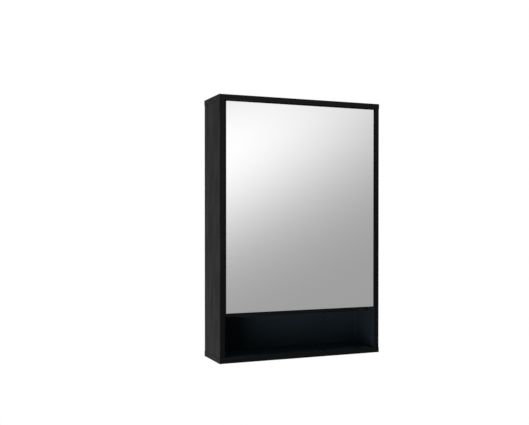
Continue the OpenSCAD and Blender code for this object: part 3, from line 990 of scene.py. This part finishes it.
# %% [markdown]
# ## Threads
# A screw is a turned core, a thread, and a recess for the driver. The thread is a triangle
# that `spin` carries round while its `dvec` lifts it, which makes a helix. It fades into the
# core at each end because its first and last triangles are shrunk onto it.

# %% Thread
THREAD_STEPS = 16


def add_thread(shape, core, outer, start, end, pitch):
    half = 0.3 * pitch
    corners = [shape.verts.new((radius * MM, 0.0, height * MM)) for radius, height in (
        (core - 0.1, start), (outer, start + half), (core - 0.1, start + 2 * half))]
    sides = [shape.edges.new(pair) for pair in zip(corners, corners[1:] + corners[:1])]
    first = shape.faces.new(corners)
    turns = int((end - start - 2 * half) / pitch)
    wound = bmesh.ops.spin(
        shape, geom=corners + sides, cent=(0, 0, 0), axis=UP,
        dvec=(0, 0, pitch * MM / THREAD_STEPS), angle=math.tau * turns,
        steps=THREAD_STEPS * turns, use_merge=False,
    )
    tail = [item for item in wound["geom_last"] if isinstance(item, bmesh.types.BMVert)]
    last = shape.faces.new(tail)
    for face in (first, last):
        peak = max(face.verts, key=lambda vert: Vector((vert.co.x, vert.co.y)).length)
        shrink = (core + 0.02) / outer
        peak.co.x *= shrink
        peak.co.y *= shrink


# %% [markdown]
# ## Driver recesses
# The recess starts as a cross, or a hexagon, drawn inside the open rim of the head.
# `bridge_loops` joins it to the rim, and its floor is extruded down and drawn in, as the
# tapered tip of a screwdriver needs.


# %% Recess
def cross_outline(reach, half_width):
    """Twelve points of an upright cross, a quarter at a time."""
    points = []
    for quarter in range(4):
        turn = Matrix.Rotation(quarter * math.pi / 2, 3, "Z")
        for corner in ((reach, half_width), (half_width, half_width), (half_width, reach)):
            points.append(turn @ Vector((*corner, 0.0)))
    return points


def hexagon_outline(reach):
    return [Matrix.Rotation(step * math.pi / 3, 3, "Z") @ Vector((reach, 0.0, 0.0))
            for step in range(6)]


def add_recess(shape, outline, depth, narrowing):
    """Closes an open head at z = 0 with a face that has a recess of this outline."""
    rim = [edge for edge in shape.edges if edge.is_boundary]
    corners = [shape.verts.new(point * MM) for point in outline]
    sides = [shape.edges.new(pair) for pair in zip(corners, corners[1:] + corners[:1])]
    bmesh.ops.bridge_loops(shape, edges=rim + sides)
    floor_face = shape.faces.new(corners)
    sunk = bmesh.ops.extrude_discrete_faces(shape, faces=[floor_face])["faces"]
    for vert in sunk[0].verts:
        vert.co = Vector((vert.co.x * narrowing, vert.co.y * narrowing, depth * MM))


# %% [markdown]
# The fittings' screws are all of one kind: a countersunk head, a thread of 3 mm over a core
# of 2 mm, and a point. Only their length differs, and the seats bring that.


# %% Countersunk wood screw
def wood_screw(length):
    tall, head, core, outer, neck = length / MM, 3.0, 1.02, 1.5, 1.7
    shape = turned([(head, 0), (head, 0.12), (core + 0.25, neck), (core, neck + 0.5),
                    (core, tall - 3.0), (0.35, tall - 0.5), (0, tall)], steps=24)
    add_recess(shape, cross_outline(1.35, 0.32), 1.25, 0.45)
    add_thread(shape, core, outer, neck + 1.1, tall - 2.8, 1.1)
    bmesh.ops.recalc_face_normals(shape, faces=shape.faces)
    return shade(shape)


for node, name, material in (
    ("pivot_screws", "pivot_fixings", black_steel),
    ("catch_screws", "catch_fixings", zinc),
    ("strike_screws", "strike_fixings", zinc),
    ("stop_screws", "stop_fixings", zinc),
    ("back_panel_screws", "back_fixings", zinc),
):
    fill_seats(node, name, wood_screw, material)

# %% [markdown]
# The long carcass screw has a stepped shank: wide where it passes through the end panel, so
# that it keeps the joint square, and threaded where it grips the side panel.


# %% Carcass screw
def carcass_screw(length):
    tall, head, shank, core, outer, step = length / MM, 5.0, 3.5, 1.9, 2.5, 11.2
    shape = turned([(head, 0), (head, 0.3), (shank, 3.0), (shank, step), (core, step + 1.0),
                    (core, tall - 2.2), (0.8, tall - 0.4), (0, tall)])
    add_recess(shape, hexagon_outline(2.3), 2.8, 0.92)
    add_thread(shape, core, outer, step + 1.4, tall - 2.0, 2.6)
    bmesh.ops.recalc_face_normals(shape, faces=shape.faces)
    return shade(shape)


fill_seats("carcass_screws", "carcass_fixings", carcass_screw, zinc)

# %% [markdown]
# A cam bolt has a ball-like head that the cam's jaws pull on, a plain neck, and a coarse
# thread in the side panel.


# %% Cam bolt
def cam_bolt(length):
    tall, thread_len = length / MM, 10.0
    root = tall - thread_len
    shape = turned([
        (0, 0), (2.6, 0), (3.4, 0.5), (3.8, 1.6), (3.8, 2.6), (3.3, 3.8), (2.0, 4.6),
        (2.0, 5.6), (2.9, 6.2), (2.9, root - 1.0), (2.45, root), (1.9, root + 0.4),
        (1.9, tall - 0.6), (1.2, tall), (0, tall),
    ])
    add_thread(shape, 1.9, 2.5, root + 0.8, tall - 0.4, 2.2)
    bmesh.ops.recalc_face_normals(shape, faces=shape.faces)
    return shade(shape)


fill_seats("cam_bolts", "cam_bolt_turnings", cam_bolt, zinc)

# %% [markdown]
# ## Dowels
# A dowel is grooved along its length so that glue can rise past it, and its ends are
# chamfered. A circle with every fourth point pushed in is a fluted section: it is filled,
# extruded to the dowel's length, and the rims of its two ends are bevelled.

# %% Fluted dowel
FLUTES = 12
DOWEL_R = 4.0


def dowel(length):
    flute_depth, chamfer = 0.35, 0.7
    shape = bmesh.new()
    ring = bmesh.ops.create_circle(
        shape, cap_ends=True, segments=FLUTES * 4, radius=DOWEL_R * MM)["verts"]
    for vert in ring[::4]:
        vert.co *= 1 - flute_depth / DOWEL_R
    risen = bmesh.ops.extrude_face_region(shape, geom=list(shape.faces))["geom"]
    top = [item for item in risen if isinstance(item, bmesh.types.BMVert)]
    bmesh.ops.translate(shape, verts=top, vec=(0, 0, length))
    rims = [edge for edge in shape.edges
            if abs(edge.verts[0].co.z - edge.verts[1].co.z) < WELD]
    bmesh.ops.bevel(
        shape, geom=rims, affect="EDGES", offset=chamfer * MM, offset_type="OFFSET",
        segments=1, profile=0.5, clamp_overlap=True, material=-1,
    )
    bmesh.ops.recalc_face_normals(shape, faces=shape.faces)
    return shape


for node, name in (("carcass_dowels", "end_dowels"), ("divider_dowels", "divider_pegs"),
                   ("rail_dowels", "rail_pegs")):
    fill_seats(node, name, dowel, beech)

# %% [markdown]
# ## Floor
# The cabinet hangs over a plain pale floor, which is far enough below it to stay out of the
# main view.

# %% Floor
FLOOR_DROP = 1.3
FLOOR_RADIUS = 2.6
floor_mesh = bpy.data.meshes.new("floor")
floor_shape = bmesh.new()
bmesh.ops.create_circle(floor_shape, cap_ends=True, segments=96, radius=FLOOR_RADIUS)
bmesh.ops.translate(floor_shape, verts=floor_shape.verts, vec=(0, 0, cad_low.z - FLOOR_DROP))
floor_shape.to_mesh(floor_mesh)
floor_shape.free()
floor = bpy.data.objects.new("floor", floor_mesh)
bpy.context.scene.collection.objects.link(floor)


def pale(place):
    return {"Base Color": place.noise((3.0, 3.0, 3.0)).mix(grey(0.86), grey(0.90)), "Roughness": 0.8}


floor_mesh.materials.append(finish("pale_floor", pale))


# %% [markdown]
# ## Softbox
# A large soft light stands low to the cabinet's left and lights its side and, at a slant, the
# niche. It stands near enough that the side is brighter at its lower end. The left side
# panel throws a soft shadow into the niche's left end.


# %% Softbox
def soft_light(name, place, aim, size, watts):
    data = bpy.data.lights.new(name, "AREA")
    data.shape = "RECTANGLE"
    data.size, data.size_y = size
    data.energy = watts
    light = bpy.data.objects.new(name, data)
    light.location = place
    light.rotation_euler = (Vector(aim) - Vector(place)).to_track_quat("-Z", "Y").to_euler()
    bpy.context.scene.collection.objects.link(light)
    return light


middle = (cad_low + cad_high) / 2
soft_light("left_softbox", middle + Vector((-1.75, -1.1, -0.75)), middle, (1.3, 1.3), 29.0)

# %% [markdown]
# ## World
# The mirror needs something to reflect: a mid grey with one soft elongated glow to the front
# right, like a window seen through a blind, which shows as a bright patch in its upper left.
# Rays that scatter off a matt surface see a dimmer world with a bright zenith, which lights
# the floor, and the camera itself sees plain white.

# %% World
GLOW_RIGHT, GLOW_UP = 16.2, 3.9
GLOW_LONG, GLOW_SHORT = 13.6, 4.5
GLOW_TILT = math.radians(24.8)
GLOW_STRENGTH = 0.679 / MIRROR_TINT
ROOM_GREY = 0.342 / MIRROR_TINT
SHADE_GREY = 0.03
OVERHEAD = 5.0
OVERHEAD_EDGE = 0.9
BACKGROUND = 1.0

world = bpy.data.worlds.new("studio")
bpy.context.scene.world = world
world.use_nodes = True
sky = Wire(world.node_tree)
direction = sky.node("ShaderNodeTexCoord", out="Generated")
right_deg = sky.math("ARCTAN2", direction.axis(0), direction.axis(1) * -1.0) * math.degrees(1)
up_deg = sky.math("ARCSINE", direction.axis(2)) * math.degrees(1)
off_right = right_deg - GLOW_RIGHT
off_up = up_deg - GLOW_UP
lengthwise = (off_right * math.cos(GLOW_TILT) + off_up * math.sin(GLOW_TILT)) / GLOW_LONG
crosswise = (off_up * math.cos(GLOW_TILT) - off_right * math.sin(GLOW_TILT)) / GLOW_SHORT
glow = sky.math("EXPONENT", (lengthwise * lengthwise + crosswise * crosswise) * -0.5)
room = glow * GLOW_STRENGTH + ROOM_GREY
seen = sky.node("ShaderNodeLightPath", out="Is Camera Ray")
scattered = sky.node("ShaderNodeLightPath", out="Is Diffuse Ray")
overhead = direction.axis(2).between(OVERHEAD_EDGE, 1.0) * OVERHEAD
lit = scattered * (overhead + SHADE_GREY) + (1 - scattered) * room
strength = seen * BACKGROUND + (1 - seen) * lit
background = world.node_tree.nodes["Background"]
world.node_tree.links.new(strength.socket, background.inputs["Strength"])
background.inputs["Color"].default_value = grey(1.0)
bpy.context.scene.view_settings.view_transform = "Standard"
